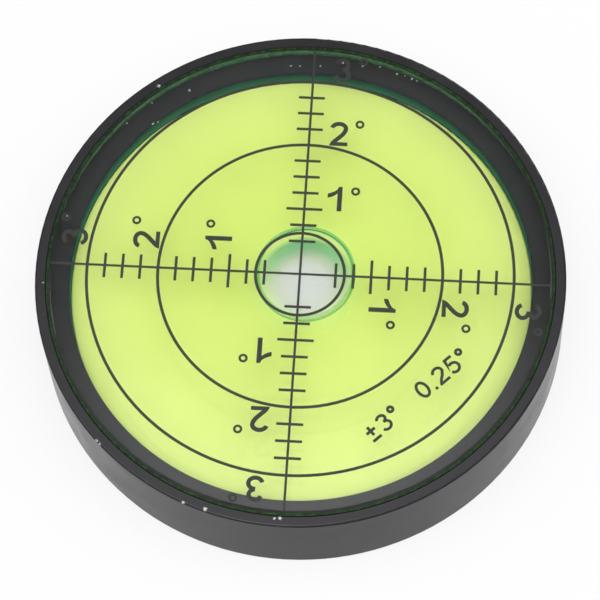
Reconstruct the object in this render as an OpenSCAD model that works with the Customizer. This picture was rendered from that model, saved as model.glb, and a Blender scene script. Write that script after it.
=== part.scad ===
// Bullseye level: a circular spirit level in a turned aluminium case.
// Origin at the middle of the base, +Z up, millimetres. The dial's arms lie on X and Y.

/* [Case] */
// Outer diameter of the case
case_d = 60; // [50:0.5:80]
// Height from the base to the print on the lens
overall_h = 12; // [11.5:0.25:18]
// Width of the rim around the lens
rim_w = 1.25; // [0.8:0.05:3]
// Width of the step that carries the lens
step_w = 2.4; // [1.5:0.05:4]
// Thickness of the case's floor
floor_t = 4.2; // [3.6:0.1:4.6]
// How far the lens stands above the rim
lens_rise = 0.2; // [0:0.05:0.35]
// Rounding of the rim's outer edge
rim_round = 0.25; // [0.1:0.05:0.5]
// Chamfer of the rim's inner edge
bore_break = 0.12; // [0.05:0.01:0.2]
// Rounding of the base's outer edge
base_round = 0.45; // [0.1:0.05:1]

/* [Lens] */
// Thickness of the lens at its edge
lens_t = 3.3; // [2.6:0.1:3.8]
// Bevel of the lens's top edge
lens_bevel = 0.45; // [0.3:0.05:0.8]
// Gap between the lens's edge and the bore, for the cement
lens_gap = 0.1; // [0.06:0.01:0.2]
// How far the cement lies below the rim
cement_drop = 0.03; // [0.02:0.01:0.04]

/* [Dial] */
// Degrees of tilt at the outer ring
full_scale = 3; // [2:1:4]
// Degrees of tilt at the middle ring
middle_scale = 2; // [1:1:2]
// Divisions in one degree of tilt
divs_per_degree = 4; // [4, 5]
// Divisions out to the small centre ring
centre_ring_divs = 2.5; // [1.5:0.25:2.75]
// Distance of the outer ring from the chamber's wall
dial_margin = 2.23; // [1:0.01:4]
// Width of the rings' lines
ring_w = 0.34; // [0.15:0.01:0.6]
// Width of the lines that cross in the middle
cross_w = 0.27; // [0.15:0.01:0.5]
// Width of the division marks
tick_w = 0.31; // [0.15:0.01:0.5]
// Length of a division mark
tick_l = 3; // [1.5:0.1:3.5]
// Length of the one-degree division mark
long_tick_l = 4.1; // [2:0.1:5]
// Thickness of the printed ink
ink_t = 0.02; // [0.01:0.01:0.05]

/* [Reflector] */
// Thickness of the white disc under the liquid
reflector_t = 1.5; // [0.8:0.1:1.8]
// Gap between the white disc's edge and the chamber
reflector_gap = 0.1; // [0.05:0.01:0.3]
// Rounding of the white disc's top edge
reflector_round = 0.2; // [0.05:0.05:0.4]

/* [Bubble] */
// Diameter of the bubble
bubble_d = 11.4; // [6:0.1:14]
// Thickness of the bubble, from the lens down
bubble_t = 3; // [2.7:0.05:3.1]
// Depth of the bubble's widest place below the lens
bubble_waist = 0.95; // [0.8:0.05:1]
// Rounding of the bubble above its widest place
bubble_shoulder = 1.1; // [1.05:0.05:1.5]
// Rounding of the bubble below its widest place
bubble_bilge = 1.6; // [1.2:0.05:1.65]
// Where the bubble has come to rest along X, from the dial's centre
bubble_x = 0.5; // [-6:0.1:6]
// Where the bubble has come to rest along Y, from the dial's centre
bubble_y = 0.9; // [-6:0.1:6]

/* [Filling hole] */
// Distance of the filling hole's axis from the chamber's wall
fill_inset = 7.35; // [4:0.05:14]
// Diameter of the threaded hole
fill_thread_d = 4; // [3:0.5:6]
// Depth of the threaded hole
fill_thread_depth = 3.1; // [2.6:0.1:3.2]
// Diameter of the passage into the chamber
fill_passage_d = 1.6; // [1:0.1:2.2]
// Thickness of the rubber washer at the bottom of the threaded hole
seal_t = 0.8; // [0.5:0.1:1]
// Hole through the rubber washer
seal_hole_d = 1.2; // [0.6:0.1:1.6]
// How far the plug lies below the base's face
plug_sink = 0.3; // [0.1:0.05:0.5]
// Width of the plug's screwdriver slot
plug_slot_w = 0.7; // [0.4:0.1:1]
// Depth of the plug's screwdriver slot
plug_slot_depth = 0.8; // [0.4:0.1:1]
// Chamfer of the plug's outer end
plug_break = 0.2; // [0.1:0.05:0.4]
// Gap between the plug, the washer and the threaded hole
thread_gap = 0.05; // [0.03:0.01:0.1]

/* [Hidden] */
$fn = 180;

// Film left between the liquid or the cement and the solids that hold it
film = 0.02;
// A little more than any surface that a cut has to pass
over = 1;
// Segments of the large circle that shapes the dome, and of small profiles
dome_fn = 3000;
profile_fn = 64;

case_r = case_d / 2;
bore_r = case_r - rim_w;
chamber_r = bore_r - step_w;
fill_r = chamber_r - fill_inset;
lens_r = bore_r - lens_gap;
liquid_r = chamber_r - film;
reflector_r = chamber_r - reflector_gap;

lens_top = overall_h - ink_t;
rim_top = lens_top - lens_rise;
seat_z = lens_top - lens_t;
reflector_top = floor_t + reflector_t;

// The dial fills the chamber, and the dome is shaped so that the bubble
// travels one division for each step of tilt
first_tick = 2;
full_divs = full_scale * divs_per_degree;
div_pitch = (chamber_r - dial_margin) / full_divs;
dome_r = div_pitch / tan(1 / divs_per_degree);
// Centre of the dome's sphere, which meets the seat at the chamber's wall
dome_z = seat_z - sqrt(dome_r * dome_r - chamber_r * chamber_r);
// Height of the lens's underside at the bubble
bubble_top_z = dome_z + sqrt(dome_r * dome_r - bubble_x * bubble_x - bubble_y * bubble_y);

// Nearly flat underside of the bubble, a sphere that runs into the bilge's rounding
bilge_x = bubble_d / 2 - bubble_bilge;
bilge_rise = bubble_t - bubble_waist;
bubble_sole_r = (bilge_x * bilge_x + bilge_rise * bilge_rise - bubble_bilge * bubble_bilge)
    / (2 * (bilge_rise - bubble_bilge));
shoulder_x = bubble_d / 2 - bubble_shoulder;

// Corner to cut away so that an edge at the origin gets a rounding of radius r
module corner_round(r) {
    difference() {
        square(r);
        circle(r, $fn = profile_fn);
    }
}

// Corner to cut away for a chamfer of width c
module corner_chamfer(c) {
    polygon([[0, c], [c, 0], [c, c]]);
}

// Half section of the empty case: floor, chamber, seat for the lens and rim
module case_section() {
    difference() {
        square([case_r, rim_top]);
        translate([-over, floor_t]) square([chamber_r + over, rim_top]);
        translate([-over, seat_z]) square([bore_r + over, rim_top]);
        translate([case_r - rim_round, rim_top - rim_round]) corner_round(rim_round);
        translate([case_r - base_round, base_round]) mirror([0, 1]) corner_round(base_round);
        translate([bore_r + bore_break, rim_top - bore_break]) mirror([1, 0]) corner_chamfer(bore_break);
    }
}

// Turned case, one piece, with the filling hole drilled from below
module case() {
    color("#2b2a29")
    difference() {
        rotate_extrude() case_section();
        at_fill_hole() {
            translate([0, 0, -over]) cylinder(h = fill_thread_depth + over, d = fill_thread_d);
            cylinder(h = floor_t + over, d = fill_passage_d);
        }
    }
}

module at_fill_hole() {
    translate([0, -fill_r, 0]) children();
}

// Clear disc with a bevelled top edge and a domed hollow underneath
module lens() {
    color("#d8ead8", 0.35)
    rotate_extrude()
    difference() {
        translate([0, seat_z]) square([lens_r, lens_t]);
        translate([lens_r - lens_bevel, lens_top - lens_bevel]) corner_chamfer(lens_bevel);
        dome_section(dome_r);
    }
}

// Right half of the dome's circle, out to the chamber's wall
module dome_section(r) {
    intersection() {
        translate([0, dome_z]) circle(r, $fn = dome_fn);
        translate([0, seat_z - over]) square([chamber_r, lens_t + over]);
    }
}

// Printed lines on the lens: two lines that cross, rings and division marks
module graticule() {
    color("#1c1e1a")
    translate([0, 0, lens_top])
    linear_extrude(ink_t) {
        ring_line(full_divs);
        ring_line(middle_scale * divs_per_degree);
        ring_line(centre_ring_divs);
        square([2 * cross_reach(), cross_w], center = true);
        square([cross_w, 2 * cross_reach()], center = true);
        for (arm = [0:3]) rotate(90 * arm) arm_ticks();
    }
}

// The crossed lines end at the lens's bevel
function cross_reach() = lens_r - lens_bevel;

// Ring at a number of divisions from the centre
module ring_line(divs) {
    difference() {
        circle(divs * div_pitch + ring_w / 2);
        circle(divs * div_pitch - ring_w / 2);
    }
}

// Division marks of one arm, with none where the middle ring crosses it
module arm_ticks() {
    for (n = [first_tick:full_divs - 1])
        if (n != middle_scale * divs_per_degree)
            translate([n * div_pitch, 0])
                square([tick_w, n == divs_per_degree ? long_tick_l : tick_l], center = true);
}

// Cement in the groove between the lens's bevel and the bore
module lens_cement() {
    groove_foot = lens_top - lens_bevel;
    groove_w = bore_r - film - lens_r + lens_bevel;
    color("#14301a")
    rotate_extrude()
    difference() {
        translate([lens_r - lens_bevel, groove_foot])
            square([groove_w, rim_top - cement_drop - groove_foot]);
        // The groove's inner side leans with the bevel
        polygon([
            [0, groove_foot - over],
            [lens_r + film + over, groove_foot - over],
            [lens_r - lens_bevel + film, lens_top],
            [0, lens_top]
        ]);
    }
}

// Liquid that fills the chamber up to the dome, with the bubble's hollow in it
module liquid() {
    color("#c8e85a", 0.6)
    difference() {
        rotate_extrude()
        intersection() {
            translate([0, reflector_top + film]) square([liquid_r, lens_top]);
            translate([0, dome_z]) circle(dome_r - film, $fn = dome_fn);
        }
        translate([bubble_x, bubble_y, bubble_top_z]) bubble_hollow();
    }
}

// Gas bubble pressed flat against the lens, measured down from the lens
module bubble_hollow() {
    rotate_extrude() {
        // Above the waist the side curves in towards the lens
        intersection() {
            translate([0, -bubble_waist]) square([bubble_d / 2, bubble_waist + over]);
            union() {
                square_column(shoulder_x);
                translate([shoulder_x, -bubble_waist]) circle(bubble_shoulder, $fn = profile_fn);
            }
        }
        // Below the waist a tight round runs into a shallow sole
        intersection() {
            translate([0, -bubble_t]) square([bubble_d / 2, bubble_t - bubble_waist]);
            union() {
                intersection() {
                    square_column(bilge_x + bubble_bilge / 2);
                    translate([0, bubble_sole_r - bubble_t]) circle(bubble_sole_r, $fn = profile_fn * 4);
                }
                translate([bilge_x, -bubble_waist]) circle(bubble_bilge, $fn = profile_fn);
            }
        }
    }
}

// Half plane section from the axis out to x, tall enough for the bubble
module square_column(x) {
    translate([0, -bubble_t - over]) square([x, bubble_t + 2 * over]);
}

// White disc on the floor of the chamber
module reflector() {
    color("#f2f4ee")
    rotate_extrude()
    difference() {
        translate([0, floor_t]) square([reflector_r, reflector_t]);
        translate([reflector_r - reflector_round, reflector_top - reflector_round])
            corner_round(reflector_round);
    }
}

// Slotted plug screwed into the filling hole from below
module fill_plug() {
    plug_r = fill_thread_d / 2 - thread_gap;
    plug_l = fill_thread_depth - seal_t - plug_sink;
    color("#b89a4e")
    at_fill_hole()
    translate([0, 0, plug_sink])
    difference() {
        rotate_extrude()
        difference() {
            square([plug_r, plug_l]);
            translate([plug_r - plug_break, plug_break]) mirror([0, 1]) corner_chamfer(plug_break);
        }
        translate([-plug_r - over, -plug_slot_w / 2, -over])
            cube([2 * (plug_r + over), plug_slot_w, plug_slot_depth + over]);
    }
}

// Rubber washer squeezed between the plug and the shoulder of its hole
module fill_seal() {
    color("#1a1a1a")
    at_fill_hole()
    translate([0, 0, fill_thread_depth - seal_t])
    difference() {
        cylinder(h = seal_t, d = fill_thread_d - 2 * thread_gap);
        translate([0, 0, -over]) cylinder(h = seal_t + 2 * over, d = seal_hole_d);
    }
}

case();
lens();
graticule();
lens_cement();
liquid();
reflector();
fill_plug();
fill_seal();
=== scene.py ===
# Bullseye level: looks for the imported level, in metres, +Z up, base on z = 0
import math
import random

import bmesh
import bpy
from mathutils import Matrix, Vector
from mathutils.geometry import delaunay_2d_cdt


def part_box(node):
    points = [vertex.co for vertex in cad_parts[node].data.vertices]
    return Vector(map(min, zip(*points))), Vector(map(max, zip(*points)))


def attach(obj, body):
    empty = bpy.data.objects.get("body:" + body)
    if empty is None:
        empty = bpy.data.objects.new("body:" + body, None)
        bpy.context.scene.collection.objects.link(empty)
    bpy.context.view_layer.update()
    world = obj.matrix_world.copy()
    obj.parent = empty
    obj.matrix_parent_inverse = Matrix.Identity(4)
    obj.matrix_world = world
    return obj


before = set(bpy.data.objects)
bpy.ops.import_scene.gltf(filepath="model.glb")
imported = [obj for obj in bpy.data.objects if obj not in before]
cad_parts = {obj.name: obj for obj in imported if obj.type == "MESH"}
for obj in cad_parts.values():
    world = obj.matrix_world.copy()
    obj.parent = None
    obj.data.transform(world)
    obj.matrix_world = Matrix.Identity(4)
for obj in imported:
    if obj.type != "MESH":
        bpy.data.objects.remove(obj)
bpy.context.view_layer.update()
mm = 0.001
caseLow, caseHigh = (Vector(corner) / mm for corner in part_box("case"))
lensLow, lensHigh = (Vector(corner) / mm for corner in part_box("lens"))
inkLow, inkHigh = (Vector(corner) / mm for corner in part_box("graticule"))
liquidLow, liquidHigh = (Vector(corner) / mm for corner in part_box("liquid"))
reflectorHigh = Vector(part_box("reflector")[1]) / mm
print("frame loaded, case size in mm", tuple(round(v, 2) for v in caseHigh - caseLow))


# Small helpers

def linearColour(hexText):
    # sRGB hex to the linear colour that a shader takes
    parts = [int(hexText[i:i + 2], 16) / 255 for i in (1, 3, 5)]
    return (*[p / 12.92 if p <= 0.04045 else ((p + 0.055) / 1.055) ** 2.4 for p in parts], 1)


def addNode(owner, kind, settings=None, inputs=None):
    # One node, its settings, and a value or a link for each input
    node = owner.node_tree.nodes.new("ShaderNode" + kind)
    for name, value in (settings or {}).items():
        setattr(node, name, value)
    for name, value in (inputs or {}).items():
        if isinstance(value, bpy.types.NodeSocket):
            owner.node_tree.links.new(value, node.inputs[name])
        else:
            node.inputs[name].default_value = value
    return node


def newMaterial(name):
    # An empty material, and the place in mm as a socket
    material = bpy.data.materials.new(name)
    material.use_nodes = True
    material.node_tree.nodes.clear()
    coords = addNode(material, "TexCoord").outputs["Object"]
    place = addNode(material, "VectorMath", {"operation": "SCALE"}, {0: coords, "Scale": 1 / mm}).outputs[0]
    return material, place


def finishMaterial(material, surface, volume=None):
    output = addNode(material, "OutputMaterial", inputs={"Surface": surface})
    if volume is not None:
        material.node_tree.links.new(volume, output.inputs["Volume"])
    return material


def flatLength(material, place):
    # Distance from an upright line through the zero of the place, mm
    flat = addNode(material, "VectorMath", {"operation": "MULTIPLY"}, {0: place, 1: (1, 1, 0)}).outputs[0]
    return addNode(material, "VectorMath", {"operation": "LENGTH"}, {0: flat}).outputs["Value"]


def unevenTone(material, place, look):
    # Colour that drifts between a look's two tones, in patches of its size in mm
    cloud = addNode(material, "TexNoise", inputs={
        "Vector": place, "Scale": 1 / look["patch"], "Detail": look["detail"]}).outputs[0]
    first, second = (linearColour(tone) for tone in look["tones"])
    return addNode(material, "Mix", {"data_type": "RGBA"}, {
        "Factor": cloud, "A": first, "B": second}).outputs["Result"]


def openToLamps(material, body):
    # Shadow rays pass through, so that the lamps light what lies behind
    clear = addNode(material, "BsdfTransparent").outputs[0]
    shadow = addNode(material, "LightPath").outputs["Is Shadow Ray"]
    return addNode(material, "MixShader", inputs={0: shadow, 1: body, 2: clear}).outputs[0]


def setMaterial(piece, material):
    piece.data.materials.clear()
    piece.data.materials.append(material)


# Camera, at the place that the photo's rings and rim give

cameraSpot = {
    "azimuth": 7.658,       # degrees, from the front towards +X
    "elevation": 67.22,
    "roll": -4.409,
    "distance": 372.12,     # mm, to the dial's centre along the line of sight
    "aside": 0.007,         # mm, sideways in the picture
    "down": 2.937,
    "focalPixels": 3301.5,  # focal length in pixels of the 600 pixel frame
    "framePixels": 600,
    "sensor": 36,           # mm
    "clip": (0.01, 20),     # metres
}


def makeCamera():
    spot = cameraSpot
    azimuth, elevation, roll = (math.radians(spot[k]) for k in ("azimuth", "elevation", "roll"))
    back = Vector((math.sin(azimuth) * math.cos(elevation),
                   -math.cos(azimuth) * math.cos(elevation), math.sin(elevation)))
    side = Vector((math.cos(azimuth), math.sin(azimuth), 0))
    upward = back.cross(side)
    right = math.cos(roll) * side + math.sin(roll) * upward
    top = -math.sin(roll) * side + math.cos(roll) * upward
    place = back * spot["distance"] + right * spot["aside"] - top * spot["down"] + Vector((0, 0, inkHigh.z))
    data = bpy.data.cameras.new("camera")
    data.sensor_width = spot["sensor"]
    data.lens = spot["focalPixels"] / spot["framePixels"] * spot["sensor"]
    data.clip_start, data.clip_end = spot["clip"]
    camera = bpy.data.objects.new("camera", data)
    turn = Matrix((right, top, back)).transposed()
    camera.matrix_world = Matrix.Translation(place * mm) @ turn.to_4x4()
    bpy.context.scene.collection.objects.link(camera)
    bpy.context.scene.camera = camera


makeCamera()
bpy.context.scene.view_settings.view_transform = "Standard"
print("camera set")


# Studio: white floor, one wide soft light overhead that leans to the front, three soft lamps

studio = {
    "floorSide": 6.0,                  # metres
    "floorGlow": 0.8,                  # share of plain white that the eye sees in the floor
    "skyWay": (0.0, -0.174, 0.985),    # middle of the wide light
    "skyBright": 2.45,
    "skyDim": 0.18,
    "skyFade": (33.6, 27.1),           # degrees from its middle between which it fades
    # place in metres, watts and side in metres of each lamp
    "lamps": (((-0.5, 0.0, 0.55), 0.45, 0.5),
              ((0.5, 0.0, 0.55), 0.75, 0.5),
              ((0.0, -0.16, 0.8), 0.8, 0.35)),
}
paperLook = {
    "tones": ("#fafafa", "#fdfdfd"),
    "patch": 2,                        # mm
    "detail": 2,
}


def makeSky():
    world = bpy.data.worlds.new("studio")
    bpy.context.scene.world = world
    world.use_nodes = True
    coords = addNode(world, "TexCoord").outputs["Generated"]
    nearness = addNode(world, "VectorMath", {"operation": "DOT_PRODUCT"}, {0: coords, 1: studio["skyWay"]})
    far, near = (math.cos(math.radians(angle)) for angle in studio["skyFade"])
    light = addNode(world, "MapRange", {"interpolation_type": "SMOOTHSTEP"}, {
        "Value": nearness.outputs["Value"], "From Min": far, "From Max": near,
        "To Min": studio["skyDim"], "To Max": studio["skyBright"]}).outputs[0]
    background = world.node_tree.nodes["Background"]
    background.inputs["Color"].default_value = (1, 1, 1, 1)
    world.node_tree.links.new(light, background.inputs["Strength"])


def mattPaper():
    # White matt paper: takes the object's shadow, and looks nearly plain white to the eye
    material, place = newMaterial("mattPaper")
    diffuse = addNode(material, "BsdfDiffuse", inputs={"Color": unevenTone(material, place, paperLook)})
    white = addNode(material, "Emission", inputs={"Color": (1, 1, 1, 1), "Strength": 1.0})
    rays = addNode(material, "LightPath")
    seen = addNode(material, "Math", {"operation": "MAXIMUM"}, {
        0: rays.outputs["Is Camera Ray"], 1: rays.outputs["Is Glossy Ray"]}).outputs[0]
    seen = addNode(material, "Math", {"operation": "MAXIMUM"}, {
        0: seen, 1: rays.outputs["Is Transmission Ray"]}).outputs[0]
    glow = addNode(material, "Math", {"operation": "MULTIPLY"}, {0: seen, 1: studio["floorGlow"]}).outputs[0]
    surface = addNode(material, "MixShader", inputs={0: glow, 1: diffuse.outputs[0], 2: white.outputs[0]})
    return finishMaterial(material, surface.outputs[0])


def makeFloor():
    mesh = bpy.data.meshes.new("floor")
    shape = bmesh.new()
    bmesh.ops.create_grid(shape, x_segments=1, y_segments=1, size=studio["floorSide"] / 2)
    shape.to_mesh(mesh)
    shape.free()
    floor = bpy.data.objects.new("floor", mesh)
    bpy.context.scene.collection.objects.link(floor)
    setMaterial(floor, mattPaper())


def makeLamps():
    for number, (place, watts, side) in enumerate(studio["lamps"]):
        data = bpy.data.lights.new("softLamp%d" % number, "AREA")
        data.energy = watts
        data.size = side
        lamp = bpy.data.objects.new(data.name, data)
        lamp.location = place
        lamp.rotation_euler = Vector(place).to_track_quat("Z", "Y").to_euler()
        bpy.context.scene.collection.objects.link(lamp)


makeSky()
makeFloor()
makeLamps()
print("studio set")


# Case

caseLook = {
    "dye": ("#252528", "#2e2e31"),
    "dyePatch": 4,                # mm
    "roughness": (0.2, 0.28),
    "roughSpan": (0.3, 0.7),      # part of the dye's drift over which the roughness changes
    "ior": 1.4,
    "gloss": (0.12, 0.5),         # specular level on the wall and on flat tops
    "markWidth": 0.2,             # turning marks, drawn coarser than the real ones so that they show, mm
    "markDepth": 0.002,           # mm
    "markStrength": 0.4,
    "bare": "#d9d9d6",
    "raggedWidth": 0.125,         # mm
    "raggedReach": 0.34,          # mm
    # nicks through the black layer: x, y, z and size, mm
    "nicks": ((-21.25, -21.0, 11.72, 0.16), (-20.9, -21.4, 11.7, 0.15), (-11.1, -27.75, 11.72, 0.15),
              (-8.65, -28.4, 11.75, 0.22), (-0.98, -29.1, 11.78, 0.14), (-0.35, -29.05, 11.78, 0.17),
              (-28.95, -2.34, 11.78, 0.12), (-17.8, 22.9, 11.78, 0.17)),
}
seatLook = {
    "tones": ("#39393b", "#404042"),
    "patch": 2.5,                 # mm
    "detail": 4,
    "planeMargin": 0.01,          # how near the seat's plane counts as on it, mm
}


def seatBlack(material, place, fromInside):
    # The step under the lens, wet with cement: matt black. The case's face and the lens's lie in one plane
    # there, so each is black only from the side that the eye sees it from, and open from its other side.
    tone = unevenTone(material, place, seatLook)
    black = addNode(material, "BsdfDiffuse", inputs={"Color": tone}).outputs[0]
    clear = addNode(material, "BsdfTransparent").outputs[0]
    inside = addNode(material, "NewGeometry").outputs["Backfacing"]
    sides = (clear, black) if fromInside else (black, clear)
    return addNode(material, "MixShader", inputs={0: inside, 1: sides[0], 2: sides[1]}).outputs[0]


def wornSpots(material, place):
    # 1 in the nicks and 0 elsewhere, with ragged edges
    reach = caseLook["raggedReach"]
    ragged = addNode(material, "TexNoise", inputs={
        "Vector": place, "Scale": 1 / caseLook["raggedWidth"], "Detail": 2}).outputs["Color"]
    ragged = addNode(material, "VectorMath", {"operation": "MULTIPLY_ADD"}, {
        0: ragged, 1: (2 * reach, 2 * reach, 2 * reach), 2: (-reach, -reach, -reach)}).outputs[0]
    ragged = addNode(material, "VectorMath", {"operation": "ADD"}, {0: place, 1: ragged}).outputs[0]
    worn = 0.0
    for x, y, z, size in caseLook["nicks"]:
        away = addNode(material, "VectorMath", {"operation": "DISTANCE"}, {
            0: ragged, 1: (x, y, z)}).outputs["Value"]
        spot = addNode(material, "Math", {"operation": "LESS_THAN"}, {0: away, 1: size}).outputs[0]
        worn = addNode(material, "Math", {"operation": "MAXIMUM"}, {0: worn, 1: spot}).outputs[0]
    return worn


def anodisedSkin(material, place, height):
    # Dyed oxide over turned metal: near black, satin, fine turning marks; bare metal in the nicks
    rings = addNode(material, "CombineXYZ", inputs={"X": flatLength(material, place), "Y": height}).outputs[0]
    marks = addNode(material, "TexNoise", inputs={
        "Vector": rings, "Scale": 1 / caseLook["markWidth"], "Detail": 3}).outputs[0]
    bump = addNode(material, "Bump", inputs={
        "Height": marks, "Strength": caseLook["markStrength"], "Distance": caseLook["markDepth"] * mm})
    cloud = addNode(material, "TexNoise", inputs={
        "Vector": place, "Scale": 1 / caseLook["dyePatch"], "Detail": 4}).outputs[0]
    dye = addNode(material, "Mix", {"data_type": "RGBA"}, {
        "Factor": cloud, "A": linearColour(caseLook["dye"][0]),
        "B": linearColour(caseLook["dye"][1])}).outputs["Result"]
    satin = addNode(material, "MapRange", inputs={
        "Value": cloud, "From Min": caseLook["roughSpan"][0], "From Max": caseLook["roughSpan"][1],
        "To Min": caseLook["roughness"][0], "To Max": caseLook["roughness"][1]}).outputs[0]
    tone = addNode(material, "Mix", {"data_type": "RGBA"}, {
        "Factor": wornSpots(material, place), "A": dye, "B": linearColour(caseLook["bare"])})
    normal = addNode(material, "NewGeometry").outputs["Normal"]
    upward = addNode(material, "SeparateXYZ", inputs={0: normal}).outputs["Z"]
    gloss = addNode(material, "MapRange", inputs={
        "Value": upward, "To Min": caseLook["gloss"][0], "To Max": caseLook["gloss"][1]}).outputs[0]
    return addNode(material, "BsdfPrincipled", inputs={
        "Base Color": tone.outputs["Result"], "Roughness": satin, "IOR": caseLook["ior"],
        "Specular IOR Level": gloss, "Normal": bump.outputs[0]}).outputs["BSDF"]


def blackAnodisedAluminium():
    # Turned aluminium under a black oxide layer, with a few nicks down to bright metal
    material, place = newMaterial("blackAnodisedAluminium")
    height = addNode(material, "SeparateXYZ", inputs={0: place}).outputs["Z"]
    atSeat = addNode(material, "Math", {"operation": "COMPARE"}, {
        0: height, 1: lensLow.z, 2: seatLook["planeMargin"]}).outputs[0]
    body = addNode(material, "MixShader", inputs={
        0: atSeat, 1: anodisedSkin(material, place, height), 2: seatBlack(material, place, False)})
    return finishMaterial(material, body.outputs[0])


# Liquid and the bubble in it

liquidLook = {
    "ior": 1.37,
    "dyeColour": (0.78, 0.9, 0.0, 1),      # what the dye lets through, as 1 minus its share of the density
    "dyeDensity": 212,                     # per metre, in blue
    "wallRadius": liquidHigh.x - 0.06,     # beyond it the liquid wets the chamber's wall, mm
    # painted teal glow on the wetted black wall: pale low down near the lit field, dark at the top
    "paintedGlowLow": "#5a9cc8",
    "paintedGlowTop": "#363f44",
    "topReach": 0.05,                      # how far under the lens's flat rim the liquid's top begins, mm
}
bubbleLook = {
    "fromWall": 1.0,                       # the bubble's points lie at least this far inside the wall, mm
    "fromFaces": 0.1,                      # and this far from the liquid's floor and from the lens, mm
    "margin": 0.03,                        # round its outline, mm
    "mirror": 0.08,                        # share of true glass in its skin
    "nearHalf": (0.85, -0.3),              # where far turns to near, from the centre as shares of its radius
    # painted light and shade of its far and near half, by the way along its outline from the lens to its
    # middle, mm
    "paintedShadingFar": ((0.0, "#a6dee6"), (0.75, "#b8e6ee"), (1.05, "#f4f8ff"), (2.2, "#fbffe8"), (3.1, "#98d6c8"),
                (4.0, "#a2d4cb"), (5.0, "#d6dce0"), (6.0, "#e9e7ff")),
    "paintedShadingNear": ((0.0, "#f6fff0"), (1.0, "#e4f6e0"), (1.3, "#b0e2c4"), (2.4, "#b0e2c4"), (2.8, "#f2fbee"),
                 (3.6, "#ecf6ee"), (5.0, "#e8e7fb"), (6.0, "#e9e7ff")),
}


def findBubble():
    # Top and greatest radius of the hollow in the liquid, from its mesh
    points = [v.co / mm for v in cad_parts["liquid"].data.vertices]
    gap = bubbleLook["fromFaces"]
    inner = [point for point in points
             if point.xy.length < liquidLook["wallRadius"] - bubbleLook["fromWall"]
             and liquidLow.z + gap < point.z < lensLow.z - gap]
    low, high = (Vector([pick(point[i] for point in inner) for i in range(3)]) for pick in (min, max))
    return Vector(((low.x + high.x) / 2, (low.y + high.y) / 2, liquidHigh.z)), (high.x - low.x) / 2


bubbleTop, bubbleRadius = findBubble()
bubbleReach = bubbleRadius + bubbleLook["margin"]
print("bubble at", tuple(round(v, 2) for v in bubbleTop), "radius", round(bubbleRadius, 2))


def paintedBubbleTint(material, along, stops):
    length = stops[-1][0]
    part = addNode(material, "Math", {"operation": "DIVIDE"}, {0: along, 1: length}).outputs[0]
    ramp = addNode(material, "ValToRGB", inputs={0: part})
    while len(ramp.color_ramp.elements) < len(stops):
        ramp.color_ramp.elements.new(1.0)
    for stop, (way, tone) in zip(ramp.color_ramp.elements, stops):
        stop.position = way / length
        stop.color = linearColour(tone)
    return ramp.outputs["Color"]


def paintedBubbleSkin(material, place, height, glass):
    # Gives where the bubble's skin is, and the skin: mostly a painted tint of light and shade in place of the
    # bubble's bending of light, with a painted teal line at its edge
    aside = addNode(material, "VectorMath", {"operation": "SUBTRACT"}, {
        0: place, 1: tuple(bubbleTop)}).outputs[0]
    reach = flatLength(material, aside)
    depth = addNode(material, "Math", {"operation": "SUBTRACT"}, {0: bubbleTop.z, 1: height}).outputs[0]
    inward = addNode(material, "Math", {"operation": "SUBTRACT"}, {0: bubbleRadius, 1: reach}).outputs[0]
    along = addNode(material, "Math", {"operation": "ADD"}, {0: depth, 1: inward}).outputs[0]
    forward = addNode(material, "SeparateXYZ", inputs={0: aside}).outputs["Y"]
    start, stop = (share * bubbleRadius for share in bubbleLook["nearHalf"])
    near = addNode(material, "MapRange", {"interpolation_type": "SMOOTHSTEP"}, {
        "Value": forward, "From Min": start, "From Max": stop}).outputs[0]
    tone = addNode(material, "Mix", {"data_type": "RGBA"}, {
        "Factor": near, "A": paintedBubbleTint(material, along, bubbleLook["paintedShadingFar"]),
        "B": paintedBubbleTint(material, along, bubbleLook["paintedShadingNear"])}).outputs["Result"]
    # painted light and shade on the bubble, seen through a clear skin
    tint = addNode(material, "BsdfTransparent", inputs={"Color": tone}).outputs[0]
    skin = addNode(material, "MixShader", inputs={0: bubbleLook["mirror"], 1: tint, 2: glass}).outputs[0]
    within = addNode(material, "Math", {"operation": "LESS_THAN"}, {0: reach, 1: bubbleReach}).outputs[0]
    above = addNode(material, "Math", {"operation": "GREATER_THAN"}, {
        0: height, 1: liquidLow.z + bubbleLook["margin"]}).outputs[0]
    atSkin = addNode(material, "Math", {"operation": "MULTIPLY"}, {0: within, 1: above}).outputs[0]
    return atSkin, skin


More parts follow.
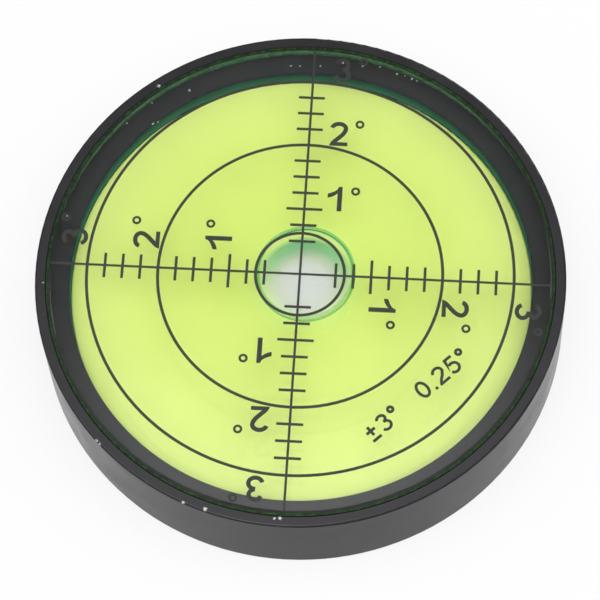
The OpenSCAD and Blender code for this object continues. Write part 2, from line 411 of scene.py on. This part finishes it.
def tintedSpirit():
    # Spirit with a yellow-green dye; where it wets the chamber's black wall, a painted teal glow, paler low
    # down, stands in for the field's light on the wall
    material, place = newMaterial("tintedSpirit")
    height = addNode(material, "SeparateXYZ", inputs={0: place}).outputs["Z"]
    glass = addNode(material, "BsdfPrincipled", inputs={
        "Base Color": (1, 1, 1, 1), "Roughness": 0.0, "IOR": liquidLook["ior"],
        "Transmission Weight": 1.0}).outputs["BSDF"]

    # Its top is open, since the lens's underside has bent the light already
    joined = addNode(material, "BsdfTransparent").outputs[0]
    atTop = addNode(material, "Math", {"operation": "GREATER_THAN"}, {
        0: height, 1: lensLow.z - liquidLook["topReach"]}).outputs[0]
    body = addNode(material, "MixShader", inputs={0: atTop, 1: glass, 2: joined}).outputs[0]

    # painted glow on the wetted wall: teal, paler near the lit field below, darker towards the lens
    level = addNode(material, "MapRange", inputs={
        "Value": height, "From Min": reflectorHigh.z, "From Max": lensLow.z}).outputs[0]
    tone = addNode(material, "Mix", {"data_type": "RGBA"}, {
        "Factor": level, "A": linearColour(liquidLook["paintedGlowLow"]), "B": linearColour(liquidLook["paintedGlowTop"])})
    wall = addNode(material, "BsdfDiffuse", inputs={"Color": tone.outputs["Result"]}).outputs[0]
    atWall = addNode(material, "Math", {"operation": "GREATER_THAN"}, {
        0: flatLength(material, place), 1: liquidLook["wallRadius"]}).outputs[0]
    body = addNode(material, "MixShader", inputs={0: atWall, 1: body, 2: wall}).outputs[0]

    atSkin, skin = paintedBubbleSkin(material, place, height, glass)
    body = addNode(material, "MixShader", inputs={0: atSkin, 1: body, 2: skin}).outputs[0]
    dye = addNode(material, "VolumeAbsorption", inputs={
        "Color": liquidLook["dyeColour"], "Density": liquidLook["dyeDensity"]})
    return finishMaterial(material, openToLamps(material, body), dye.outputs["Volume"])


# Lens

lensLook = {
    "clear": "#fdfffd",
    "ior": 1.49,
    "undersideTop": lensLow.z + 1.0,     # all of the hollow underside lies below it, mm
    "edgeRadius": lensHigh.x - 0.04,     # beyond it the turned edge begins, mm
    "edgePaintedGlow": "#80b793",                # painted green light that the edge gathers through the top
    # painted shade at the foot of the edge
    "edgePaintedShade": "#0c100d",
    "edgePaintedFade": (lensLow.z - 1.2, lensLow.z + 1.7),    # heights between which the painted glow goes from shade low down to light at the top, mm
    "edgePaintedGain": 1.7,                     # how far the streaks lift the painted glow towards the top's green
    "streak": 1.111,                     # mm
    "speck": "#9dc79f",
    "speckWidth": 0.3125,                # mm
    "speckLimit": 0.68,                  # above it the noise is a speck
    "seatRadius": liquidHigh.x + 0.05,   # beyond it the underside lies on the black step, mm
}


def wettedGlass(material, place, height):
    # Polished acrylic. Outside the bubble the liquid wets its hollow underside: light bends from one
    # into the other there, and none mirrors
    glass = addNode(material, "BsdfPrincipled", inputs={
        "Base Color": linearColour(lensLook["clear"]), "Roughness": 0.0, "IOR": lensLook["ior"],
        "Transmission Weight": 1.0}).outputs["BSDF"]
    wetted = addNode(material, "BsdfRefraction", inputs={
        "Color": (1, 1, 1, 1), "Roughness": 0.0, "IOR": lensLook["ior"] / liquidLook["ior"]}).outputs[0]
    under = addNode(material, "Math", {"operation": "LESS_THAN"}, {
        0: height, 1: lensLook["undersideTop"]}).outputs[0]
    aside = addNode(material, "VectorMath", {"operation": "SUBTRACT"}, {
        0: place, 1: tuple(bubbleTop)}).outputs[0]
    wet = addNode(material, "Math", {"operation": "GREATER_THAN"}, {
        0: flatLength(material, aside), 1: bubbleReach}).outputs[0]
    under = addNode(material, "Math", {"operation": "MULTIPLY"}, {0: under, 1: wet}).outputs[0]
    return addNode(material, "MixShader", inputs={0: under, 1: glass, 2: wetted}).outputs[0]


def edgeWithPaintedGlow(material, place, height):
    # The lens's edge, wet with cement: a painted dark green glow, paler towards the top where painted light
    # stands in for the light that comes in through the top, with pale specks
    depth = addNode(material, "MapRange", {"interpolation_type": "SMOOTHSTEP"}, {
        "Value": height, "From Min": lensLook["edgePaintedFade"][0], "From Max": lensLook["edgePaintedFade"][1]}).outputs[0]
    streak = addNode(material, "TexNoise", inputs={
        "Vector": place, "Scale": 1 / lensLook["streak"], "Detail": 3}).outputs[0]
    level = addNode(material, "Math", {"operation": "MULTIPLY"}, {0: depth, 1: streak}).outputs[0]
    level = addNode(material, "Math", {"operation": "MULTIPLY", "use_clamp": True}, {
        0: level, 1: lensLook["edgePaintedGain"]}).outputs[0]
    edge = addNode(material, "Mix", {"data_type": "RGBA"}, {
        "Factor": level, "A": linearColour(lensLook["edgePaintedShade"]), "B": linearColour(lensLook["edgePaintedGlow"])})
    specks = addNode(material, "TexNoise", inputs={
        "Vector": place, "Scale": 1 / lensLook["speckWidth"], "Detail": 1}).outputs[0]
    specks = addNode(material, "Math", {"operation": "GREATER_THAN"}, {
        0: specks, 1: lensLook["speckLimit"]}).outputs[0]
    edge = addNode(material, "Mix", {"data_type": "RGBA"}, {
        "Factor": specks, "A": edge.outputs["Result"], "B": linearColour(lensLook["speck"])})
    return addNode(material, "BsdfDiffuse", inputs={"Color": edge.outputs["Result"]}).outputs[0]


def clearAcrylic():
    # Clear cast acrylic with polished faces and a turned edge; on the step it shows the step's black
    material, place = newMaterial("clearAcrylic")
    height = addNode(material, "SeparateXYZ", inputs={0: place}).outputs["Z"]
    radius = flatLength(material, place)
    atEdge = addNode(material, "Math", {"operation": "GREATER_THAN"}, {
        0: radius, 1: lensLook["edgeRadius"]}).outputs[0]
    body = addNode(material, "MixShader", inputs={
        0: atEdge, 1: wettedGlass(material, place, height),
        2: edgeWithPaintedGlow(material, place, height)}).outputs[0]
    overStep = addNode(material, "Math", {"operation": "GREATER_THAN"}, {
        0: radius, 1: lensLook["seatRadius"]}).outputs[0]
    low = addNode(material, "Math", {"operation": "LESS_THAN"}, {
        0: height, 1: lensLow.z + seatLook["planeMargin"]}).outputs[0]
    atSeat = addNode(material, "Math", {"operation": "MULTIPLY"}, {0: overStep, 1: low}).outputs[0]
    body = addNode(material, "MixShader", inputs={
        0: atSeat, 1: body, 2: seatBlack(material, place, True)}).outputs[0]
    return finishMaterial(material, openToLamps(material, body))


# Reflector

reflectorLook = {
    "tones": ("#eef1ec", "#f8f9f6"),
    "patch": 8.333,          # mm
    "detail": 2,
    "roughness": 0.5,
}


def whitePlastic():
    # Matt white moulding, very slightly uneven in tone
    material, place = newMaterial("whitePlastic")
    shader = addNode(material, "BsdfPrincipled", inputs={
        "Base Color": unevenTone(material, place, reflectorLook), "Roughness": reflectorLook["roughness"]})
    return finishMaterial(material, shader.outputs["BSDF"])


# Printed dial

inkLook = {
    "tones": ("#2e302c", "#383a36"),
    "patch": 0.6667,         # mm
    "detail": 3,
    "roughness": 0.45,
    "ior": 1.4,
}


def dialInk():
    # Screen-printed black ink: dark grey, half matt, a little uneven
    material, place = newMaterial("dialInk")
    shader = addNode(material, "BsdfPrincipled", inputs={
        "Base Color": unevenTone(material, place, inkLook), "Roughness": inkLook["roughness"],
        "IOR": inkLook["ior"]})
    return finishMaterial(material, shader.outputs["BSDF"])


# Cement in the groove

cementLook = {
    # painted green light in the clear cement, from dark to bright
    "dark": "#0d200a",
    "bright": "#27561b",
    "brightSpan": (0.4, 0.75),    # part of the noise over which dark goes to bright
    "grain": 0.4545,              # mm
    "roughness": 0.3,
    "ior": 1.3,
}


def setCementPaintedGreen():
    # Clear cement, painted green for the lens's green light that it picks up, glossy, with small bright
    # bubbles
    material, place = newMaterial("setCementPaintedGreen")
    cloud = addNode(material, "TexNoise", inputs={
        "Vector": place, "Scale": 1 / cementLook["grain"], "Detail": 3}).outputs[0]
    bright = addNode(material, "MapRange", inputs={
        "Value": cloud, "From Min": cementLook["brightSpan"][0],
        "From Max": cementLook["brightSpan"][1]}).outputs[0]
    tone = addNode(material, "Mix", {"data_type": "RGBA"}, {
        "Factor": bright, "A": linearColour(cementLook["dark"]), "B": linearColour(cementLook["bright"])})
    shader = addNode(material, "BsdfPrincipled", inputs={
        "Base Color": tone.outputs["Result"], "Roughness": cementLook["roughness"], "IOR": cementLook["ior"]})
    return finishMaterial(material, shader.outputs["BSDF"])


# Filling plug and its washer

plugLook = {
    "tones": ("#b8924a", "#d2b068"),
    "patch": 0.25,           # mm
    "detail": 2,
    "roughness": 0.3,
}
sealLook = {
    "tones": ("#161616", "#222222"),
    "patch": 0.3333,         # mm
    "detail": 2,
    "roughness": 0.75,
}


def turnedBrass():
    # Plain brass, turned, with a warm satin gloss
    material, place = newMaterial("turnedBrass")
    shader = addNode(material, "BsdfPrincipled", inputs={
        "Base Color": unevenTone(material, place, plugLook), "Roughness": plugLook["roughness"],
        "Metallic": 1.0})
    return finishMaterial(material, shader.outputs["BSDF"])


def nitrileRubber():
    # Moulded nitrile rubber: black and matt, which shows little of the light
    material, place = newMaterial("nitrileRubber")
    shader = addNode(material, "BsdfPrincipled", inputs={
        "Base Color": unevenTone(material, place, sealLook), "Roughness": sealLook["roughness"]})
    return finishMaterial(material, shader.outputs["BSDF"])


nodeMaterials = {
    "case": blackAnodisedAluminium(),
    "lens": clearAcrylic(),
    "graticule": dialInk(),
    "lens_cement": setCementPaintedGreen(),
    "liquid": tintedSpirit(),
    "reflector": whitePlastic(),
    "fill_plug": turnedBrass(),
    "fill_seal": nitrileRubber(),
}
for nodeName, nodeMaterial in nodeMaterials.items():
    setMaterial(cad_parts[nodeName], nodeMaterial)
print("materials on the packed nodes")


# Print on the lens: strokes and outlines in mm, laid flat and given the ink's thickness

printing = {
    "joinWithin": 0.001,     # points nearer than this are one, mm
    "mitre": 0.3,            # keeps a mitre's point from reaching far at a sharp corner
    "ringSides": 32,
    "smallSides": 24,
}


def arc(x, y, rx, ry, start, stop, steps=14):
    # Points of an elliptical arc, angles in degrees, anticlockwise when stop is larger
    angles = [math.radians(start + (stop - start) * i / steps) for i in range(steps + 1)]
    return [(x + rx * math.cos(a), y + ry * math.sin(a)) for a in angles]


def loop(x, y, rx, ry, sides):
    # Points right round an ellipse
    return arc(x, y, rx, ry, 0, 360 - 360 / sides, sides - 1)


def strokeFaces(line, width, closed=False):
    # Quads along a line, mitred at its corners
    points = [Vector(p) for p in line]
    count = len(points)
    sides = []
    for i, point in enumerate(points):
        before = points[i - 1] if i or closed else None
        after = points[(i + 1) % count] if i < count - 1 or closed else None
        pairs = ((before, point), (point, after))
        ways = [(b - a).normalized() for a, b in pairs if a is not None and b is not None]
        normals = [Vector((-way.y, way.x)) for way in ways]
        middle = sum(normals, Vector((0, 0))).normalized()
        reach = width / 2 / max(middle.dot(normals[0]), printing["mitre"])
        sides.append((point + middle * reach, point - middle * reach))
    nexts = sides[1:] + sides[:1] if closed else sides[1:]
    return [(left, right, nextRight, nextLeft) for (left, right), (nextLeft, nextRight) in zip(sides, nexts)]


def printPiece(name, shapes):
    # One printed piece: flat shapes made one, raised by the ink's thickness, faces outward
    mesh = bpy.data.meshes.new(name)
    shape = bmesh.new()
    flat, rounds = [], []
    for corners in shapes:
        rounds.append(list(range(len(flat), len(flat) + len(corners))))
        flat += [Vector((x, y)) for x, y in corners]
    inside = 1    # triangles within the outlines
    places, _, faces, _, _, sources = delaunay_2d_cdt(flat, [], rounds, inside, printing["joinWithin"])
    points = [shape.verts.new((x * mm, y * mm, inkLow.z * mm)) for x, y in places]
    for corners, source in zip(faces, sources):
        if source:    # a triangle in a hole has no source
            shape.faces.new([points[i] for i in corners])
    bmesh.ops.delete(shape, geom=[point for point in points if not point.link_faces], context="VERTS")
    for face in shape.faces:
        face.normal_update()
        if face.normal.z > 0:
            face.normal_flip()
    raised = bmesh.ops.extrude_face_region(shape, geom=shape.faces[:], use_keep_orig=True)["geom"]
    lifted = [part for part in raised if isinstance(part, bmesh.types.BMVert)]
    bmesh.ops.translate(shape, verts=lifted, vec=(0, 0, (inkHigh.z - inkLow.z) * mm))
    bmesh.ops.recalc_face_normals(shape, faces=shape.faces)
    shape.to_mesh(mesh)
    shape.free()
    piece = bpy.data.objects.new(name, mesh)
    bpy.context.scene.collection.objects.link(piece)
    setMaterial(piece, nodeMaterials["graticule"])
    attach(piece, "root")
    return piece


def turned(shapes, degrees, offset=(0, 0)):
    # Flat shapes moved, then turned about the dial's centre
    c, s = math.cos(math.radians(degrees)), math.sin(math.radians(degrees))
    return [[((x + offset[0]) * c - (y + offset[1]) * s, (x + offset[0]) * s + (y + offset[1]) * c)
             for x, y in corners] for corners in shapes]


numerals = {
    "height": 3.05,
    "stroke": 0.5,
    "threeStrokes": (0.47, 0.48),     # upper and lower bowl of the three
    # each number with the x and y of its lower left corner, and then of its degree ring's centre
    "places": ((1, 2.55, 7.95), (2, 2.3, 16.15), (3, 2.35, 24.3)),
    "rings": ((1, 5.7, 10.5), (2, 5.72, 18.95), (3, 5.72, 27.0)),
    "ringRadius": 0.38,
    "ringStroke": 0.27,
}


def numeralShapes(number):
    high = numerals["height"]
    if number == 1:
        return [[(1.11, 0), (1.65, 0), (1.65, high), (1.22, high), (1.11, 2.75), (1.11, 2.22)],
                [(1.11, 2.22), (1.11, 2.75), (0.92, 2.56), (0.62, 2.38), (0, 2.14), (0, 1.64),
                 (0.5, 1.79), (0.85, 1.99)]]
    if number == 2:
        hook = arc(1.06, 2.19, 0.79, 0.6, 172, -8)
        slope = [(1.78, 1.86), (1.5, 1.42), (1.05, 0.98), (0.6, 0.55), (0.36, 0.26)]
        foot = [(0, 0), (2.12, 0), (2.12, 0.46), (0.2, 0.46)]
        return strokeFaces(hook + slope, numerals["stroke"]) + [foot]
    upper = strokeFaces(arc(0.96, 2.21, 0.68, 0.59, 165, -88), numerals["threeStrokes"][0])
    lower = strokeFaces(arc(0.98, 0.9, 0.78, 0.66, 92, -168), numerals["threeStrokes"][1])
    return upper + lower


def ringShapes(x, y):
    radius = numerals["ringRadius"]
    return strokeFaces(loop(x, y, radius, radius, printing["ringSides"]), numerals["ringStroke"], True)


armNames = ("far", "left", "near", "right")
for quarter, armName in enumerate(armNames):
    for number, x, y in numerals["places"]:
        printPiece("numeral_%s_%d" % (armName, number), turned(numeralShapes(number), 90 * quarter, (x, y)))
    for number, x, y in numerals["rings"]:
        printPiece("degree_%s_%d" % (armName, number), turned(ringShapes(x, y), 90 * quarter))
print("numerals printed")


legend = {
    "height": 2.17,
    "stroke": 0.33,
    "baseline": -20.7,       # from the centre, along the legend's upright
    "middle": -0.05,         # along the baseline
    "turn": 45,              # degrees
    "gap": 0.38,             # between two characters
}


def legendShapes():
    # Plain numbers in thin strokes: the dial's reach either way, then the step of its marks, in degrees
    high, stroke = legend["height"], legend["stroke"]
    low, top, sides = stroke / 2, high - stroke / 2, printing["smallSides"]
    # each character's width, then its lines and whether each closes on itself
    zero = (1.5, [(loop(0.75, high / 2, 0.75 - low, high / 2 - low, sides), True)])
    point = (0.34, [([(0, low), (0.34, low)], False)])
    space = (0.5, [])
    two = (1.45, [(arc(0.72, 1.52, 0.58, 0.5, 170, -25) + [(0.95, 0.95), (0.45, 0.55), (0.16, low)], False),
                  ([(0, low), (1.42, low)], False)])
    three = (1.45, [(arc(0.68, 1.58, 0.52, 0.42, 160, -88), False),
                    (arc(0.7, 0.67, 0.58, 0.5, 90, -160), False)])
    five = (1.45, [([(1.32, top), (0.36, top), (0.2, 1.02)] + arc(0.7, 0.72, 0.6, 0.58, 125, -155), False)])
    degree = (0.9, [(loop(0.42, high - 0.4, 0.3, 0.3, sides), True)])
    plusMinus = (1.4, [([(0.1, 1.3), (1.3, 1.3)], False), ([(0.7, 0.7), (0.7, 1.9)], False),
                       ([(0.1, low), (1.3, low)], False)])
    glyphs = (plusMinus, three, degree, space, space, space, zero, point, two, five, degree)
    length = sum(width for width, lines in glyphs) + legend["gap"] * (len(glyphs) - 1)
    cursor, pieces = legend["middle"] - length / 2, []
    for width, lines in glyphs:
        faces = []
        for line, closed in lines:
            faces += strokeFaces([(x + cursor, y) for x, y in line], stroke, closed)
        if faces:
            pieces.append(faces)
        cursor += width + legend["gap"]
    print("legend length in mm", round(length, 2))
    return pieces


for count, faces in enumerate(legendShapes()):
    printPiece("legend_%d" % (count + 1), turned(faces, legend["turn"], (0, legend["baseline"])))
print("legend printed")


# Dust on the lens

dust = {
    # x, y and size of each fleck, mm
    "flecks": ((-14.2, 22.39, 0.16), (-2.68, 26.1, 0.12), (-1.63, 26.15, 0.1), (0.74, 26.26, 0.09),
               (3.32, 26.77, 0.12), (5.65, 26.49, 0.15), (7.62, 26.46, 0.12), (9.63, 25.65, 0.14),
               (10.57, 25.44, 0.1), (11.39, 25.09, 0.13), (11.98, 24.86, 0.11), (-18.07, 17.9, 0.14),
               (-17.52, 18.18, 0.12), (-21.08, 17.88, 0.11), (-26.94, 5.84, 0.12), (-18.4, 20.57, 0.1)),
    "corners": 9,
    "stretch": (1.0, 1.8),     # length over width
    "ragged": (0.55, 1.0),     # corners' reach, as a share of the size
    "seed": 11,
    "tones": ("#8d9089", "#c8cbc4"),
    "patch": 0.1667,           # mm
    "detail": 2,
}


def paleDust():
    # Lint and grit: pale grey, matt
    material, place = newMaterial("paleDust")
    shader = addNode(material, "BsdfDiffuse", inputs={"Color": unevenTone(material, place, dust)})
    return finishMaterial(material, shader.outputs[0])


def dustShapes():
    chance = random.Random(dust["seed"])
    shapes = []
    for x, y, size in dust["flecks"]:
        stretch = chance.uniform(*dust["stretch"])
        lean = chance.uniform(0, math.pi)
        c, s = math.cos(lean), math.sin(lean)
        corners = []
        for i in range(dust["corners"]):
            angle = 2 * math.pi * i / dust["corners"]
            reach = size * chance.uniform(*dust["ragged"])
            along, across = reach * stretch * math.cos(angle), reach * math.sin(angle)
            corners.append((x + along * c - across * s, y + along * s + across * c))
        shapes.append(corners)
    return shapes


flecks = printPiece("lens_dust", dustShapes())
setMaterial(flecks, paleDust())
print("dust laid")
